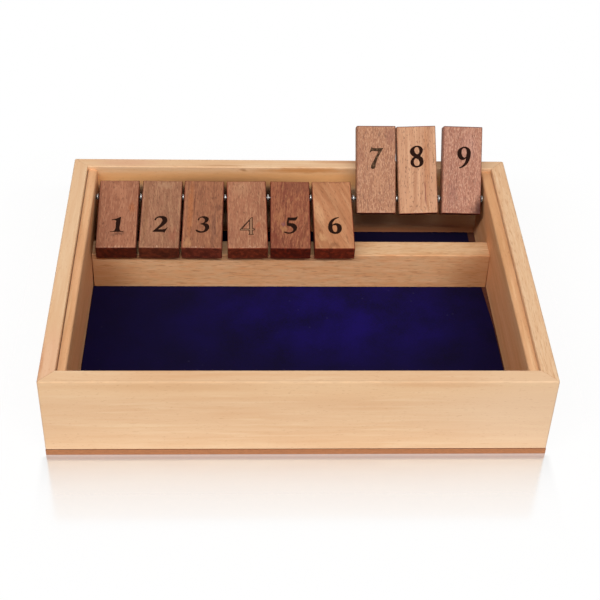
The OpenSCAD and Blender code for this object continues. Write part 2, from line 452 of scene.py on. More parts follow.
def drawn_steel(name, tone, rough):
    """Steel wire drawn through a die: bright, with fine lines along the rod and faint smears of oil. The
    lines are a few hundredths of a millimetre wide, and are drawn coarser, 0.15 mm, so that they show."""
    material, tree, shader, point = start_material(name)
    draw = add_node(tree, "ShaderNodeMapping", {},
                    {"Vector": point, "Scale": (1 / (25 * MM), 1 / (0.15 * MM), 1 / (0.15 * MM))})
    lines = add_node(tree, "ShaderNodeTexNoise", {}, {"Vector": draw, "Scale": 1.0, "Detail": 3.0})
    smear = add_node(tree, "ShaderNodeTexNoise", {}, {"Vector": point, "Scale": 1 / (6 * MM), "Detail": 2.0})
    dull = add_node(tree, "ShaderNodeMath", MULTIPLY, {0: lines, 1: smear})
    gloss = add_node(tree, "ShaderNodeMapRange", {}, {"Value": dull, "From Min": 0.1, "From Max": 0.5,
                                                      "To Min": rough - 0.06, "To Max": rough + 0.14})
    mix = add_node(tree, "ShaderNodeMix", COLOURS,
                   {0: smear, 6: (*[c * 0.82 for c in tone], 1), 7: (*tone, 1)}, 2)
    bump = add_node(tree, "ShaderNodeBump", {}, {"Strength": 0.2, "Distance": 0.02 * MM, "Height": lines})
    fill(tree, shader, {"Base Color": mix, "Metallic": 1.0, "Roughness": gloss, "Normal": bump})
    return material


def ink(name, tone, bare, worn, seed):
    """Stamped ink, soaked into the pores: it dries near black, and where worn the pressed wood shows."""
    material, tree, shader, point = start_material(name)
    spots = add_node(tree, "ShaderNodeTexNoise", {"noise_dimensions": "4D"},
                     {"Vector": point, "W": seed, "Scale": 1 / (1.6 * MM), "Detail": 4.0, "Roughness": 0.6})
    share = add_node(tree, "ShaderNodeMapRange", SOFT,
                     {"Value": spots, "From Min": 0.75 - 0.7 * worn, "From Max": 0.95 - 0.7 * worn})
    mix = add_node(tree, "ShaderNodeMix", COLOURS, {0: share, 6: (*tone, 1), 7: (*bare, 1)}, 2)
    bump = add_node(tree, "ShaderNodeBump", {}, {"Strength": 0.3, "Distance": 0.05 * MM, "Height": spots})
    fill(tree, shader, {"Base Color": mix, "Roughness": 0.8, "Normal": bump, "Specular IOR Level": 0.04})
    return material


# Tray

# How far the hand-fitted liners stray from true, in mm to the right: the inner face at its top and at its
# foot, then the outer face, each at the back end and at the front end of the board
LINER_STRAY = {
    "liner_left": ((0.3, -0.4), (-0.3, -1.8), (0.0, 0.05)),
    "liner_right": ((-0.8, 0.0), (0.0, 1.2), (0.1, 0.2)),
}


def between(pair, share):
    """A value on the way from the first of a pair to the second."""
    return pair[0] + (pair[1] - pair[0]) * share


class SHUTBOX_OT_panel(bpy.types.Operator):
    """Makes the bottom panel with softly eased edges"""
    bl_idname = "shutbox.make_panel"
    bl_label = "Bottom panel"

    def execute(self, context):
        tray = context.scene.shutbox_tray
        bm = node_copy("base_panel")
        ease(bm, sharp_edges(bm), tray.panel_ease, 2)
        for face in bm.faces:
            face.material_index = 1 if abs(face.normal.z) > 0.99 else 0
        boards = [fibreboard("Hardboard, sawn edge", tray.panel_edge),
                  fibreboard("Hardboard, pressed face", tray.panel_face)]
        new_piece("bottom_panel", bm, boards, "tray", ["base_panel"])
        return {"FINISHED"}


class SHUTBOX_OT_walls(bpy.types.Operator):
    """Makes the four mitred walls: the whole frame is rounded first, then sawn at its mitres"""
    bl_idname = "shutbox.make_walls"
    bl_label = "Walls"

    def execute(self, context):
        tray = context.scene.shutbox_tray
        low, high = span([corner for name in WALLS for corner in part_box(name)])
        whole = self.rounded_frame(low, high, tray.rim_ease, tray.corner_ease)
        # Each wall's grain direction, the way out of its broad face, its streaks, seed and patches. The
        # front wall is paler under its rim, and painted shade darkens it along the rim's outer edge to dim
        # the rounding's highlight. The back wall's inner face has painted shade behind the tiles and along
        # its foot, darker and redder towards the felt, a warm band painted along its upper part for the tone
        # of that face in shade, and a knot under its rim. The left wall has painted shade along its outer top
        # edge, on the rounding.
        looks = {
            "wall_front": ((1, 0, 0), (0, -1, 0), SMOOTH_PINE, 1.0,
                           ((0, 47, 400, 12, 0, "#f1cb9f", 0.5, 95, 2),
                            # Painted shade along the rim's outer edge, which dims the rounding's highlight
                            (0, 51.2, 400, 1.4, 0, "#cbaa87", 0.6, 94.5, 1.0),
                            (-60, 48, 60, 5, 0, "#d9a676", 0.35), (70, 49, 45, 3, 0, "#d8a273", 0.35),
                            (125, 26, 90, 40, 0, "#ecccaa", 0.6))),
            "wall_back": ((1, 0, 0), (0, -1, 0), SMOOTH_PINE, 2.3,
                          # The next three: a warm band painted on the upper inner face for its tone in shade,
                          # painted shade along the foot, and painted shade behind the tiles
                          ((0, 42, 400, 9, 0, "#f6b474", 0.9, -86.8, 3),
                           (0, 2, 400, 12, 0, "#b3602f", 0.8, -86.8, 3),
                           (-38, 30, 96, 20, 0, "#4a2210", 0.8, -86.8, 3),
                           (8, 49, 38, 2.6, 0, "#d08a48", 0.75, -86.8, 3),
                           (-28, 49, 3.2, 1.6, 0, "#a0683a", 0.6, -86.8, 2),
                           (-42, 51, 18, 3, 0, "#b98458", 0.5, -88.5, 1.2),
                           (34, 51, 30, 3, 0, "#c48a64", 0.6, -93, 2.5),
                           (-96, 51, 26, 3, 0, "#dca888", 0.6, -91, 5))),
            "wall_left": ((0, 1, 0), (0, 0, 1), SMOOTH_PINE, 3.1,
                          ((-80, 122, 34, 9, 0, "#eab595", 0.45, 51, 6),
                           # Painted shade along the outer top edge, on the rounding
                           (-82, 126.6, 18, 2, 0, "#c08058", 0.5, 51, 6))),
            "wall_right": ((0, 1, 0), (0, 0, 1), PINE, 4.7, ()),
        }
        tones = (tray.wall_light, tray.wall_dark, tray.wall_fleck)
        for name, (along, normal, layers, seed, patches) in looks.items():
            bm = whole.copy()
            self.saw(bm, name, low, high, tray.seam)
            board = wood("Lacquered pine, " + name.replace("wall_", "") + " wall",
                         grain_frame(along, normal), tray.wall, tones, layers, seed, patches=patches)
            new_piece("tray_" + name, bm, [board], "tray", [name])
        whole.free()
        return {"FINISHED"}

    def rounded_frame(self, low, high, rim_radius, corner_radius):
        """The four walls as one ring, with its rim and outer corners rounded."""
        bm = bmesh.new()
        for name in WALLS:
            move_into(node_copy(name), bm)
        inside = [f for f in bm.faces if abs(f.normal.x) > 0.5 and abs(f.normal.y) > 0.5]
        bmesh.ops.delete(bm, geom=inside, context="FACES_ONLY")
        bmesh.ops.remove_doubles(bm, verts=bm.verts, dist=WELD)
        if not all(e.is_manifold for e in bm.edges):
            raise RuntimeError("the walls don't close into a ring")
        corners = [e for e in bm.edges
                   if all(min(v.co.x - low.x, high.x - v.co.x) < NEAR and
                          min(v.co.y - low.y, high.y - v.co.y) < NEAR for v in e.verts)]
        ease(bm, corners, corner_radius, 5)
        rim = [e for e in bm.edges if e.calc_face_angle() > SHARP and
               all(v.co.z > high.z - NEAR for v in e.verts)]
        ease(bm, rim, rim_radius, 4)
        return bm

    def saw(self, bm, name, low, high, seam):
        """Cuts the ring a little inside the two mitres of one wall and closes the ends."""
        out = Vector((*WALLS[name], 0))
        over = Vector((-out.y, out.x, 0))
        middle = (low + high) / 2
        half = (high - low) / 2
        for sign in (-1, 1):
            corner = middle + Vector((half.x * (out.x + sign * over.x), half.y * (out.y + sign * over.y), 0))
            plane = (sign * over - out).normalized()
            corner -= plane * seam
            bmesh.ops.bisect_plane(bm, geom=bm.verts[:] + bm.edges[:] + bm.faces[:], plane_co=corner,
                                   plane_no=plane, dist=WELD / 10, clear_outer=True)
            bmesh.ops.holes_fill(bm, edges=[e for e in bm.edges if e.is_boundary], sides=0)
        if not all(e.is_manifold for e in bm.edges):
            raise RuntimeError(name + " isn't closed after it was sawn")


class SHUTBOX_OT_liners(bpy.types.Operator):
    """Makes the two liner boards that carry the rod"""
    bl_idname = "shutbox.make_liners"
    bl_label = "Liners"

    def execute(self, context):
        tray = context.scene.shutbox_tray
        tones = (tray.liner_light, tray.liner_dark, tray.liner_fleck)
        for name, seed in (("liner_left", 5.2), ("liner_right", 6.9)):
            low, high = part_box(name)
            inner = high.x if abs(high.x) < abs(low.x) else low.x
            bm = node_copy(name)
            top = [e for e in sharp_edges(bm) if all(abs(v.co.z - high.z) < NEAR and
                                                     abs(v.co.x - inner) < NEAR for v in e.verts)]
            head, foot, side = LINER_STRAY[name]
            for vert in bm.verts:
                forward = (high.y - vert.co.y) / (high.y - low.y)
                up = (vert.co.z - low.z) / (high.z - low.z)
                face = between((between(foot, forward), between(head, forward)), up)
                vert.co.x += (face if abs(vert.co.x - inner) < NEAR else between(side, forward)) * MM
            ease(bm, top, tray.liner_ease, 4)
            # An orange patch is painted over the middle of each liner's height: a warm tint standing in for
            # bounced light on the shaded inner face, which leaves its top nearly bare
            board = wood("Sanded pine, " + name.replace("liner_", "") + " liner",
                         grain_frame((0, 1, 0), (1, 0, 0)), tray.liner, tones, SMOOTH_PINE, seed,
                         patches=((0, 24, 400, 30, 0, "#e8925a", 0.45),), rough=0.55)
            new_piece("tray_" + name, bm, [board], "tray", [name])
        return {"FINISHED"}


class SHUTBOX_OT_divider(bpy.types.Operator):
    """Makes the divider bar that the tiles lie on"""
    bl_idname = "shutbox.make_divider"
    bl_label = "Divider"

    def execute(self, context):
        tray = context.scene.shutbox_tray
        bm = node_copy("divider")
        ease(bm, sharp_edges(bm), tray.board_ease, 3)
        tones = (tray.divider_light, tray.divider_dark, tray.divider_fleck)
        # Painted: an orange band along the front face and front edge, a warm tint for that face in shade, and
        # painted shade darkening both ends next to the liners
        bar = wood("Sanded pine, divider", grain_frame((1, 0, 0), (0, 0, 1)), tray.divider, tones, PINE,
                   8.4, patches=((0, 31, 400, 5, 0, "#f09a5e", 0.6),
                                (-112, 33, 30, 9, 0, "#a96a3c", 0.6, 8, 24),
                                (112, 33, 32, 9, 0, "#b0703e", 0.55, 10, 24)), rough=0.55)
        new_piece("divider_bar", bm, [bar], "tray", ["divider"])
        return {"FINISHED"}


# Felt, rod and washers

class SHUTBOX_OT_felt(bpy.types.Operator):
    """Lays the two pieces of felt"""
    bl_idname = "shutbox.lay_felt"
    bl_label = "Felt"

    def execute(self, context):
        look = context.scene.shutbox_felt
        # The trough felt takes its darker colour as painted shade
        for node, name, tone in (("felt_tray", "tray_felt", look.tone),
                                 ("felt_trough", "trough_felt", look.trough)):
            cloth = felt("Needled wool felt, " + name.replace("_felt", ""), tone, look.shade, look.lint)
            bm = node_copy(node)
            low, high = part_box(node)
            if node == "felt_tray":
                self.follow_liners(bm, low)
            top = [f for f in bm.faces if f.normal.z > 0.5]
            area = sum(f.calc_area() for f in top)
            ease(bm, [e for e in sharp_edges(bm) if all(v.co.z > high.z - NEAR for v in e.verts)],
                 look.edge_ease, 3)
            piece = new_piece(name, bm, [cloth], "tray", [node])
        return {"FINISHED"}

    def follow_liners(self, bm, low):
        """The tray felt is cut to the feet of the two liners."""
        front, back = (corner.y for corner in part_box("liner_left"))
        for vert in bm.verts:
            forward = (back - vert.co.y) / (back - front)
            if vert.co.x - low.x < NEAR:
                vert.co.x += between(LINER_STRAY["liner_left"][1], forward) * MM
            elif vert.co.y - low.y < NEAR:
                vert.co.x += between(LINER_STRAY["liner_right"][1], forward) * MM


class SHUTBOX_OT_rod(bpy.types.Operator):
    """Makes the steel rod"""
    bl_idname = "shutbox.make_rod"
    bl_label = "Rod"

    def execute(self, context):
        steel = context.scene.shutbox_steel
        low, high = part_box("hinge_rod")
        radius = (high.z - low.z) / 2
        middle = (low + high) / 2
        bm = bmesh.new()
        place = Matrix.Translation(middle) @ Matrix.Rotation(math.radians(90), 4, "Y")
        bmesh.ops.create_cone(bm, cap_ends=True, cap_tris=False, segments=steel.around, radius1=radius,
                              radius2=radius, depth=high.x - low.x, matrix=place)
        ease(bm, [e for e in bm.edges if e.calc_face_angle() > SQUARE], steel.rod_ease, 2)
        new_piece("steel_rod", bm, [drawn_steel("Drawn steel", steel.rod_tone, 0.28)], "tray",
                  ["hinge_rod"], smooth=True)
        return {"FINISHED"}


class SHUTBOX_OT_washers(bpy.types.Operator):
    """Turns the washers, one in each gap along the rod"""
    bl_idname = "shutbox.turn_washers"
    bl_label = "Washers"

    def execute(self, context):
        steel = context.scene.shutbox_steel
        source = bmesh.new()
        source.from_mesh(frame["nodes"]["washers"].data)
        places = sorted({round(v.co.x, 6) for v in source.verts})
        axis = Vector(frame["joints"][0]["pos_m"])
        reach = [math.hypot(v.co.y - axis.y, v.co.z - axis.z) for v in source.verts]
        source.free()
        inner, outer = min(reach), max(reach)
        plate = drawn_steel("Zinc-plated steel", steel.washer_tone, 0.42)
        whole = bmesh.new()
        for first, last in zip(places[::2], places[1::2]):
            ring = bmesh.new()
            spots = [(first, inner), (last, inner), (last, outer), (first, outer)]
            verts = [ring.verts.new((x, axis.y, axis.z + r)) for x, r in spots]
            ring.faces.new(verts)
            bmesh.ops.spin(ring, geom=ring.verts[:] + ring.edges[:] + ring.faces[:],
                           cent=(0, axis.y, axis.z), axis=(1, 0, 0), angle=math.radians(360),
                           steps=steel.around, use_merge=True, use_duplicate=False)
            bmesh.ops.remove_doubles(ring, verts=ring.verts, dist=WELD)
            edges = [e for e in ring.edges if e.is_manifold and e.calc_face_angle() > SQUARE]
            ease(ring, edges, steel.washer_ease, 2)
            move_into(ring, whole)
        new_piece("washer_set", whole, [plate], "tray", ["washers"], smooth=True)
        return {"FINISHED"}


# Tiles and numerals

# Patches of worn, paler wood at a tile's free end and at its heel
WORN_EDGE = (0, -42, 13, 1.3, 0, "#d3a689", 0.5)
WORN_HEEL = (0, 9, 12, 1.4, 0, "#dcb698", 0.4)
# Each tile's base, light, dark and edge colours, its streaks, the slant and the waver of its grain, and its
# patches: how far right of the middle, how far towards the heel from the rod, half width, half length, turn,
# colour and strength
TILE_WOOD = {
    1: ("#a46d52", "#be896a", "#88543e", "#551f0f", SAPELE, 0, 3,
        ((7.8, -12, 2.8, 6, 0, "#ab6238", 0.5), (0.5, 0, 7, 7, 0, "#b88062", 0.35),
         (-10.6, -16, 1.6, 40, 0, "#75442f", 0.6), (-4, -28, 4, 16, 0, "#93614a", 0.4),
         (0.6, -31.6, 5.5, 1.7, 0, "#4c3226", 0.6), WORN_EDGE)),
    2: ("#9f6f55", "#b98c6a", "#81553e", "#602b19", SAPELE, 5, 3,
        ((1.5, 5.5, 7, 3.5, 0, "#b99070", 0.5), (-8.6, -14, 1.8, 34, 0, "#815538", 0.5),
         (7.4, -32, 3.5, 8, 0, "#995842", 0.4), (3.5, -12, 1.2, 16, 8, "#8b6148", 0.4), WORN_EDGE)),
    3: ("#9c664a", "#b98460", "#7d4e39", "#6b2e1e", SAPELE, 3, 1.5,
        ((-7.2, -12, 2.2, 30, 0, "#ae6b40", 0.6), (-5.0, -9, 0.6, 13, 0, "#6c3e2c", 0.8),
         (-3.4, -19, 0.5, 6, 0, "#7a4a36", 0.7), (6.5, -26, 1.8, 20, 0, "#79503f", 0.5),
         (9.3, -11, 2.4, 4, -20, "#6b4233", 0.6), (-8, -38, 3.4, 5, 0, "#c08d63", 0.5), WORN_EDGE)),
    4: ("#a97256", "#c49370", "#8c5841", "#722f1a", SAPELE, 0, 3,
        ((-3, 3, 7, 7, 0, "#c09370", 0.4), (-8.6, -32, 3.4, 12, 0, "#93604a", 0.4),
         (10.4, -40.5, 2.4, 4, 0, "#74412f", 0.6), (6.3, -25, 2.2, 3.5, 0, "#ad6345", 0.5), WORN_EDGE)),
    5: ("#95593f", "#b87f58", "#71382a", "#5f1e0c", SAPELE, -4, 7,
        ((4, 5, 9, 7, 0, "#7f4b37", 0.6), (-6.2, -19, 4.2, 7, 0, "#b97e55", 0.4),
         (-3.6, -27.5, 3.2, 3.4, 0, "#bd8a5c", 0.5), (-4, -23.5, 2, 2, 0, "#855a60", 0.5),
         (-8.4, -35, 3, 9, 12, "#67291c", 0.55), (-4.0, -37, 0.9, 6, 8, "#5c2519", 0.6),
         (0.5, -38, 0.8, 5, 0, "#5c2519", 0.55), (4.5, -38, 0.9, 6, -6, "#632a1e", 0.55),
         (8.2, -30, 1.5, 12, -12, "#67301f", 0.55), (10.4, -20, 1.0, 12, -8, "#7a4230", 0.5))),
    6: ("#b97f59", "#d3a077", "#96613f", "#6f2813", SMOOTH_SAPELE, 22, 2,
        ((-8, -15, 3.4, 14, 12, "#d8a87d", 0.5), (4, -22, 2.2, 17, 24, "#cf9b72", 0.35),
         (-0.3, -39.5, 4.4, 3.0, 0, "#7d4f35", 0.6), (-6.4, -33.5, 3.0, 4, 30, "#d9ab7c", 0.45),
         (-10, -38.5, 2, 3.5, 0, "#b0613c", 0.4), (8.8, -28, 2.6, 12, 0, "#b3714f", 0.35),
         (0, 8.8, 14, 1.2, 0, "#8a5a3e", 0.5))),
    7: ("#ab7858", "#c89775", "#925d43", "#5f2416", SPECKLED_SAPELE, 0, 3,
        ((8, -36, 3.8, 7, 0, "#935e48", 0.6), (-9, -25, 3.2, 10, 0, "#976148", 0.5),
         (1, -10, 5, 10, 0, "#c08b66", 0.4), WORN_HEEL)),
    8: ("#c4926f", "#ddae88", "#a46f4d", "#6b2a1a", PORED_SAPELE, 0, 3,
        ((5.6, -20, 2.4, 32, 0, "#b5784e", 0.6), (4.4, -3, 0.8, 11, 0, "#7a3424", 0.75),
         (5.2, -22, 0.6, 12, 2, "#96583b", 0.35), (-5, 2, 4, 9, 0, "#d6a27c", 0.4), WORN_HEEL)),
    9: ("#af7860", "#ca9a80", "#935e4a", "#5a2014", SPECKLED_SAPELE, 0, 3,
        # Tile 9's first patch, dark at the corner of its heel, is painted shade
        ((12.5, 9.5, 9.0, 19, 14, "#45190c", 0.95), (-6, -2, 4, 9, 0, "#9a6656", 0.45),
         (4, -30, 6, 10, 0, "#c79583", 0.35))),
}

# The outlines of the numerals in millimetres round their middle. A third number marks a corner. A numeral's
# outlines after the first are its openings.
NUMERALS = {
    1: [[(-3.25, 3.35, 1), (-1.6, 3.75), (0.3, 4.5), (2.05, 5.65, 1), (1.9, 1.0), (1.75, -4.3),
         (2.3, -5.1), (3.9, -5.45, 1), (3.9, -5.9, 1), (-3.8, -5.9, 1), (-3.8, -5.5, 1), (-1.7, -5.1),
         (-1.1, -4.3), (-0.8, 1.0), (-0.75, 2.3), (-1.3, 2.9), (-3.2, 2.75, 1)]],
    2: [[(-3.3, 2.9), (-3.4, 3.6), (-2.2, 5.35), (0.1, 6.2), (2.9, 5.5), (4.0, 3.3), (3.4, 0.9),
         (1.6, -1.3), (-0.9, -3.75, 1), (1.9, -3.7), (3.0, -3.3), (4.5, -2.1, 1), (3.4, -4.6),
         (2.65, -6.5, 1), (2.0, -5.8, 1), (-4.05, -5.75, 1), (-4.0, -5.2, 1), (-1.9, -2.7), (0.5, 0.9),
         (1.0, 2.9), (0.5, 4.3), (-0.7, 4.85), (-1.9, 4.3), (-2.5, 3.15), (-2.85, 2.8)]],
    3: [[(-2.65, 2.8), (-2.9, 3.6), (-1.75, 5.2), (0.3, 6.15), (2.6, 5.5), (3.4, 4.0), (2.9, 2.2),
         (1.45, 0.85, 1), (2.95, 0.3), (3.95, -1.7), (3.4, -4.0), (1.7, -5.6), (-0.4, -6.3),
         (-2.6, -5.9), (-3.7, -4.75), (-3.3, -4.0), (-2.1, -4.65), (-0.5, -5.1), (0.9, -4.5),
         (1.45, -3.0), (1.1, -1.5), (0.2, -0.45), (-1.1, -0.05, 1), (-1.1, 0.75, 1), (0.4, 1.3),
         (1.1, 2.5), (0.8, 4.2), (-0.5, 5.0), (-1.7, 4.5), (-2.2, 3.1)]],
    4: [[(3.15, 5.7, 1), (3.05, -2.9, 1), (4.3, -3.1, 1), (4.0, -4.45, 1), (3.0, -4.4, 1),
         (3.05, -6.5, 1), (3.7, -7.6, 1), (0.4, -7.6, 1), (1.05, -6.5, 1), (1.0, -4.4, 1),
         (-4.4, -4.35, 1), (-4.2, -3.5, 1), (2.2, 5.2, 1)],
        [(1.15, 2.5, 1), (-2.7, -3.0, 1), (1.05, -3.0, 1)]],
    5: [[(-1.5, 5.5, 1), (2.7, 5.6), (3.5, 5.9), (4.3, 6.6, 1), (4.05, 5.0), (2.95, 3.15, 1),
         (-0.8, 3.15, 1), (-0.9, 1.15, 1), (0.5, 1.25), (2.3, 0.75), (3.65, -1.0), (3.8, -2.7),
         (3.0, -4.6), (1.5, -6.05), (-0.5, -6.8), (-2.5, -6.4), (-3.6, -5.75), (-3.4, -5.15),
         (-2.5, -5.35), (-0.9, -5.75), (0.6, -5.25), (1.5, -3.7), (1.15, -2.3), (0.1, -1.35),
         (-1.2, -1.0), (-2.1, -0.7, 1), (-1.95, 2.5)]],
    6: [[(3.3, 6.0, 1), (1.3, 5.5), (-0.9, 4.15), (-2.4, 2.0), (-3.15, -0.7), (-3.2, -3.0),
         (-2.55, -5.0), (-1.1, -6.35), (0.7, -6.8), (2.6, -6.3), (4.1, -4.65), (4.6, -2.3),
         (4.2, -0.3), (2.9, 1.0), (1.3, 1.35), (0.1, 0.9), (-0.55, 0.2, 1), (-0.55, 1.4), (0.3, 3.0),
         (1.6, 4.5), (3.3, 5.4, 1)],
        [(-0.6, -3.0), (-0.7, -1.3), (-0.2, -0.15), (0.5, 0.15), (1.4, -0.5), (1.85, -2.0),
         (1.75, -4.0), (1.1, -5.15), (0.3, -5.15), (-0.35, -4.2)]],
    7: [[(-2.6, 5.7, 1), (-2.2, 4.75, 1), (1.0, 4.7), (4.2, 4.85, 1), (2.7, 2.3), (1.0, -1.0),
         (-0.3, -4.7), (-0.75, -6.7), (-2.0, -7.45), (-2.9, -6.9), (-2.95, -5.6), (-2.0, -3.7),
         (-0.65, -1.0), (0.8, 1.7), (1.3, 2.8, 1), (-1.0, 2.95), (-2.7, 2.9), (-3.3, 2.3),
         (-3.9, 2.0, 1), (-3.5, 3.4)]],
    8: [[(0.0, 6.35), (-1.9, 5.8), (-3.7, 4.2), (-4.0, 2.4), (-3.05, 0.8), (-1.95, -0.15, 1),
         (-3.05, -1.4), (-3.85, -3.0), (-3.5, -4.8), (-2.0, -6.05), (0.1, -6.45), (2.2, -5.8),
         (3.6, -4.3), (3.8, -2.4), (3.3, -0.9), (2.1, 0.2, 1), (2.85, 1.5), (3.6, 3.3), (3.2, 5.1),
         (1.8, 6.1)],
        [(-0.05, 5.5), (-1.15, 4.6), (-1.35, 3.3), (-0.7, 2.0), (0.35, 1.4), (1.15, 1.85),
         (1.45, 3.1), (1.15, 4.8)],
        [(-0.75, -1.15), (-1.65, -2.2), (-1.85, -3.6), (-1.2, -5.0), (-0.2, -5.45), (0.95, -5.0),
         (1.45, -3.8), (1.15, -2.5), (0.4, -1.55)]],
    9: [[(1.0, 6.0), (-1.1, 5.3), (-2.6, 4.0), (-3.1, 2.0), (-2.6, -0.1), (-1.1, -1.65), (0.5, -1.85),
         (1.95, -1.1, 1), (1.65, -2.6), (0.6, -4.4), (-0.7, -5.7), (-1.95, -6.2, 1), (-1.75, -6.7),
         (-0.4, -6.5), (1.6, -5.4), (3.4, -3.4), (4.4, -1.0), (4.9, 1.7), (4.4, 4.3), (2.95, 5.6)],
        [(0.8, 5.2), (-0.2, 4.4), (-0.55, 2.7), (-0.2, 0.9), (0.8, -0.3), (1.75, -0.15),
         (2.25, 1.2), (2.25, 3.4), (1.75, 4.85)]],
}


def tile_frame(number):
    """A tile's own directions round its hinge: Y towards its heel, Z out of its upper broad face when it
    lies down."""
    pivot = Vector(frame["joints"][number - 1]["pos_m"])
    low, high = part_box(f"tile_{number}")
    heel = pivot - (low + high) / 2
    heel.x = 0
    bm = node_copy(f"tile_{number}")
    faces = sorted(bm.faces, key=lambda f: f.calc_area())
    z = faces[-1].normal.copy()
    y = [f for f in faces if f.normal.dot(heel.normalized()) > 0.9][-1].normal.copy()
    bm.free()
    x = y.cross(z)
    if x.x < 0:
        z = -z
        x = -x
    return Matrix.Translation(pivot) @ Matrix((x, y, z)).transposed().to_4x4()


class SHUTBOX_OT_tiles(bpy.types.Operator):
    """Makes the nine tiles with crisp eased edges and dark ends"""
    bl_idname = "shutbox.make_tiles"
    bl_label = "Tiles"

    def execute(self, context):
        tiles = context.scene.shutbox_tiles
        for number in TILES:
            name = f"tile_{number}"
            seed = 1.7 * number
            *codes, layers, slant, bend, marks = TILE_WOOD[number]
            base, light, dark, end = (linear(code) for code in codes)
            tones = (light, dark, [c * PORE_TONE for c in dark])
            end_tones = [[c * share for c in end] for share in END_TONES]
            patches = [(y, -x, reach, half, *rest) for x, y, half, reach, *rest in marks]
            place = tile_frame(number)
            side, along, out = (place.col[i].to_3d() for i in range(3))
            bm = node_copy(name)
            ease(bm, sharp_edges(bm), tiles.edge_ease, 3)
            for face in bm.faces:
                broad = abs(face.normal.dot(out)) > 0.99
                from_rod = (face.calc_center_median() - place.translation).cross(side).length
                in_bore = from_rod < 2 * BORE_REACH
                # The sides of the other tiles take the dark material as painted shade for the gaps between
                # the lying tiles
                pale_side = layers in PALE_SIDED and abs(face.normal.dot(side)) > 0.5
                face.material_index = 0 if broad or in_bore or pale_side else 1
            board = grain_frame(along, out, place.translation)
            woods = [wood(f"Oiled sapele, tile {number}", board, base, tones, layers, seed, slant, bend,
                          patches, rough=0.45),
                     wood(f"Sapele, dark edges of tile {number}", board, end, end_tones, END_GRAIN, seed,
                          rough=0.6)]
            new_piece("wood_" + name, bm, woods, name, [name])
        return {"FINISHED"}


class SHUTBOX_OT_numerals(bpy.types.Operator):
    """Stamps a numeral on both broad faces of each tile"""
    bl_idname = "shutbox.stamp_numerals"
    bl_label = "Numerals"

    def execute(self, context):
        tiles = context.scene.shutbox_tiles
        black = ink("Stamped black ink", tiles.ink, linear("#5a4034"), 0.0, 1.0)
        rim = ink("Soaked edge of the ink", tiles.ink_rim, linear("#5a3424"), 0.3, 2.0)
        # Numeral 4 has lost its ink but for the edge, and numeral 7 part of it
        pale = {
            4: (ink("Bare stamp, numeral 4", linear("#7a6450"), linear("#9a745a"), 0.7, 4.0),
                ink("Bare stamp edge, numeral 4", linear("#2a1712"), linear("#4a3024"), 0.3, 4.5)),
            7: (ink("Worn ink, numeral 7", linear("#3c2b20"), linear("#6e553f"), 0.45, 7.0),
                ink("Worn ink edge, numeral 7", linear("#2b1b13"), linear("#4e3727"), 0.4, 7.5)),
        }
        for number in TILES:
            place = tile_frame(number)
            inverse = place.inverted()
            low, high = span([inverse @ v.co for v in frame["nodes"][f"tile_{number}"].data.vertices])
            middle = low.y + tiles.from_end
            front = Matrix.Translation((0, middle, high.z))
            back = Matrix.Translation((0, middle, low.z)) @ Matrix.Rotation(math.radians(180), 4, "X")
            stamp = self.stamp(number, tiles.bare_rim if number == 4 else tiles.rim_width, tiles.ink_height)
            pair = bmesh.new()
            for side in (front, back):
                copy = stamp.copy()
                copy.transform(place @ side)
                move_into(copy, pair)
            stamp.free()
            new_piece(f"numeral_{number}", pair, pale.get(number, (black, rim)), f"tile_{number}")
        return {"FINISHED"}

    def stamp(self, number, rim_width, height):
        """A numeral as a thin closed slab, with a separate rim of faces round its top."""
        curve = bpy.data.curves.new("outline", "CURVE")
        curve.dimensions = "2D"
        curve.fill_mode = "BOTH"
        curve.resolution_u = 5
        for points in NUMERALS[number]:
            spline = curve.splines.new("BEZIER")
            spline.bezier_points.add(len(points) - 1)
            spline.use_cyclic_u = True
            for knot, spot in zip(spline.bezier_points, points):
                knot.co = (spot[0] * MM, spot[1] * MM, 0)
                kind = "VECTOR" if len(spot) == 3 else "AUTO"
                knot.handle_left_type = kind
                knot.handle_right_type = kind
        outline = bpy.data.objects.new("outline", curve)
        bpy.context.scene.collection.objects.link(outline)
        bpy.context.view_layer.update()
        flat = bpy.data.meshes.new_from_object(outline.evaluated_get(bpy.context.evaluated_depsgraph_get()))
        bpy.data.objects.remove(outline)
        bpy.data.curves.remove(curve)
        bm = bmesh.new()
        bm.from_mesh(flat)
        bpy.data.meshes.remove(flat)
        bmesh.ops.remove_doubles(bm, verts=bm.verts, dist=NEAR)
        for face in bm.faces:
            if face.normal.z < 0:
                face.normal_flip()
            face.material_index = 0
        rim = bmesh.ops.inset_region(bm, faces=bm.faces[:], thickness=rim_width, use_boundary=True,
                                     use_even_offset=True)["faces"]
        for face in rim:
            face.material_index = 1
        bmesh.ops.translate(bm, verts=bm.verts, vec=(0, 0, height))
        bmesh.ops.solidify(bm, geom=bm.verts[:] + bm.edges[:] + bm.faces[:], thickness=2 * height)
        return bm


# Stage

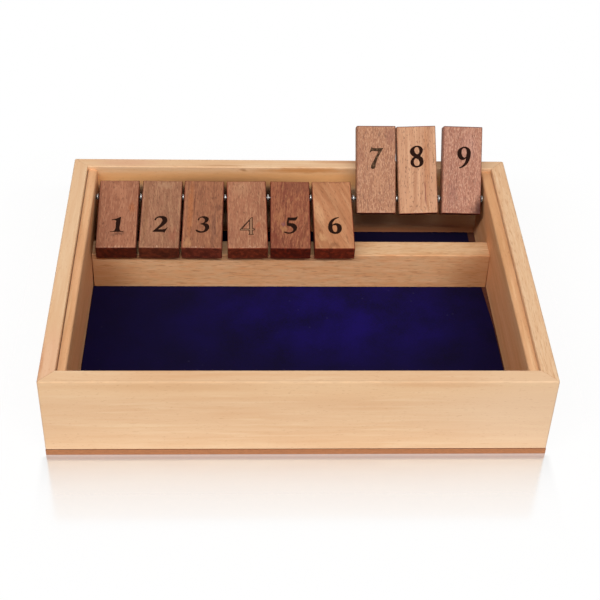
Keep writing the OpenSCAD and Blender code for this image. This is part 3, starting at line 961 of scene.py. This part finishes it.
class SHUTBOX_OT_stage(bpy.types.Operator):
    """Sets the white floor, the light and the camera"""
    bl_idname = "shutbox.set_stage"
    bl_label = "Stage"

    def execute(self, context):
        stage = context.scene.shutbox_stage
        scene = context.scene
        scene.view_settings.view_transform = "Standard"
        self.lay_floor(stage)
        self.light(scene, stage)
        self.aim(scene, stage)
        return {"FINISHED"}

    def lay_floor(self, stage):
        """A white floor with a soft gloss next to the tray, as on a polished table, and its glow painted
        darker where the tray's reflection lies.
        """
        bm = bmesh.new()
        bmesh.ops.create_grid(bm, x_segments=1, y_segments=1, size=FLOOR_SPAN / 2)
        mesh = bpy.data.meshes.new("floor")
        bm.to_mesh(mesh)
        bm.free()
        floor = bpy.data.objects.new("floor", mesh)
        bpy.context.scene.collection.objects.link(floor)
        material, tree, shader, point = start_material("White acrylic sheet")
        size = add_node(tree, "ShaderNodeVectorMath", {"operation": "ABSOLUTE"}, {0: point})
        past = add_node(tree, "ShaderNodeVectorMath", {"operation": "SUBTRACT"},
                        {0: size, 1: -Vector(cad_box[0])})
        past = add_node(tree, "ShaderNodeVectorMath", {"operation": "MAXIMUM"}, {0: past, 1: (0, 0, 0)})
        far = add_node(tree, "ShaderNodeVectorMath", {"operation": "LENGTH"}, {0: past}, "Value")
        fade = add_node(tree, "ShaderNodeMath", {"operation": "DIVIDE"}, {0: far, 1: -GLOSS_FADE})
        fade = add_node(tree, "ShaderNodeMath", {"operation": "EXPONENT"}, {0: fade})
        share = add_node(tree, "ShaderNodeMath", MULTIPLY, {0: fade, 1: GLOSS_SHARE})
        # Painted shade: the glow dims in front of the tray and behind it, where the tray's reflection lies
        past_side = add_node(tree, "ShaderNodeSeparateXYZ", {}, {0: past}, "X")
        past_front = add_node(tree, "ShaderNodeSeparateXYZ", {}, {0: past}, "Y")
        between_sides = add_node(tree, "ShaderNodeMapRange", {},
                                 {"Value": past_side, "From Max": DIM_CORNER, "To Min": 1.0, "To Max": 0.0})
        in_front = add_node(tree, "ShaderNodeMapRange", {}, {"Value": past_front, "From Max": DIM_FOOT})
        dim = add_node(tree, "ShaderNodeMath", MULTIPLY, {0: between_sides, 1: in_front})
        close = add_node(tree, "ShaderNodeMath", {"operation": "POWER"}, {0: fade, 1: DIM_POWER})
        dim = add_node(tree, "ShaderNodeMath", MULTIPLY, {0: dim, 1: close})
        level = add_node(tree, "ShaderNodeMapRange", {}, {"Value": dim, "To Min": 1.0, "To Max": DIM_LEVEL})
        # The glow is for the camera alone, so the floor lights the tray as plain pale floor
        ray = add_node(tree, "ShaderNodeLightPath", {}, {}, "Is Camera Ray")
        glow = add_node(tree, "ShaderNodeEmission", {}, {"Color": (1, 1, 1, 1), "Strength": level})
        clear = add_node(tree, "ShaderNodeMapRange", {}, {"Value": far, "From Min": 0.0,
                                                          "From Max": GLOW_FULL, "To Min": GLOW_SHARE,
                                                          "To Max": 1.0})
        clear = add_node(tree, "ShaderNodeMath", MULTIPLY, {0: clear, 1: ray})
        base = add_node(tree, "ShaderNodeMix", COLOURS, {0: ray, 6: (*stage.floor, 1), 7: (1, 1, 1, 1)}, 2)
        lift = add_node(tree, "ShaderNodeMixShader", {}, {0: clear, 1: shader.outputs[0], 2: glow})
        mirror = add_node(tree, "ShaderNodeBsdfGlossy", {}, {"Color": (1, 1, 1, 1), "Roughness": GLOSS_ROUGH})
        surface = add_node(tree, "ShaderNodeMixShader", {}, {0: share, 1: lift, 2: mirror})
        fill(tree, tree.nodes["Material Output"], {"Surface": surface})
        fill(tree, shader, {"Base Color": base, "Roughness": 0.9, "Specular IOR Level": 0.0})
        mesh.materials.append(material)

    def light(self, scene, stage):
        """One large soft lamp in front and above, and white light from all round."""
        lamp = bpy.data.lights.new("key", "AREA")
        lamp.shape = "RECTANGLE"
        lamp.size, lamp.size_y = LAMP_SIZE
        lamp.energy = stage.key_power
        key = bpy.data.objects.new("key", lamp)
        key.location = LAMP_AT
        key.rotation_euler = (-Vector(LAMP_AT)).to_track_quat("-Z", "Y").to_euler()
        scene.collection.objects.link(key)
        world = bpy.data.worlds.new("white room")
        world.use_nodes = True
        tree = world.node_tree
        path = tree.nodes.new("ShaderNodeLightPath")
        seen = add_node(tree, "ShaderNodeMath", {"operation": "MAXIMUM"},
                        {0: path.outputs["Is Camera Ray"], 1: path.outputs["Is Glossy Ray"]})
        seen = add_node(tree, "ShaderNodeMath", {"operation": "MAXIMUM"},
                        {0: seen, 1: path.outputs["Is Transmission Ray"]})
        power = add_node(tree, "ShaderNodeMix", {}, {0: seen, 2: stage.fill, 3: 1.0})
        tone = add_node(tree, "ShaderNodeMix", COLOURS,
                        {0: seen, 6: (*stage.fill_tone, 1), 7: (1, 1, 1, 1)}, 2)
        fill(tree, tree.nodes["Background"], {"Color": tone, "Strength": power})
        scene.world = world

    def aim(self, scene, stage):
        """The camera stands where the photograph was taken from."""
        lens = bpy.data.cameras.new("camera")
        lens.sensor_width = 36
        lens.lens = stage.lens
        camera = bpy.data.objects.new("camera", lens)
        turn = (Matrix.Rotation(CAMERA_YAW, 4, "Z") @ Matrix.Rotation(CAMERA_PITCH, 4, "X")
                @ Matrix.Rotation(CAMERA_ROLL, 4, "Z"))
        camera.matrix_world = Matrix.Translation(CAMERA_AT) @ turn
        scene.collection.objects.link(camera)
        scene.camera = camera


class SHUTBOX_PT_panel(bpy.types.Panel):
    """The settings and the steps of the build"""
    bl_idname = "SHUTBOX_PT_panel"
    bl_label = "Shut the box"
    bl_space_type = "VIEW_3D"
    bl_region_type = "UI"
    bl_category = "Shut the box"

    def draw(self, context):
        for group, kind in GROUPS.items():
            box = self.layout.box()
            for name in kind.__annotations__:
                box.prop(getattr(context.scene, group), name)
        for step in STEPS:
            self.layout.operator(step.bl_idname)


GROUPS = {
    "shutbox_tray": SHUTBOX_PG_tray,
    "shutbox_tiles": SHUTBOX_PG_tiles,
    "shutbox_felt": SHUTBOX_PG_felt,
    "shutbox_steel": SHUTBOX_PG_steel,
    "shutbox_stage": SHUTBOX_PG_stage,
}
STEPS = (SHUTBOX_OT_panel, SHUTBOX_OT_walls, SHUTBOX_OT_liners, SHUTBOX_OT_divider, SHUTBOX_OT_felt,
         SHUTBOX_OT_rod, SHUTBOX_OT_washers, SHUTBOX_OT_tiles, SHUTBOX_OT_numerals, SHUTBOX_OT_stage)


def register():
    for kind in (*GROUPS.values(), *STEPS, SHUTBOX_PT_panel):
        bpy.utils.register_class(kind)
    for group, kind in GROUPS.items():
        setattr(bpy.types.Scene, group, PointerProperty(type=kind))


def unregister():
    for group in GROUPS:
        delattr(bpy.types.Scene, group)
    for kind in (SHUTBOX_PT_panel, *reversed(STEPS), *reversed(GROUPS.values())):
        bpy.utils.unregister_class(kind)


def main():
    register()
    for step in STEPS:
        family, action = step.bl_idname.split(".")
        getattr(getattr(bpy.ops, family), action)()


if __name__ == "__main__":
    main()
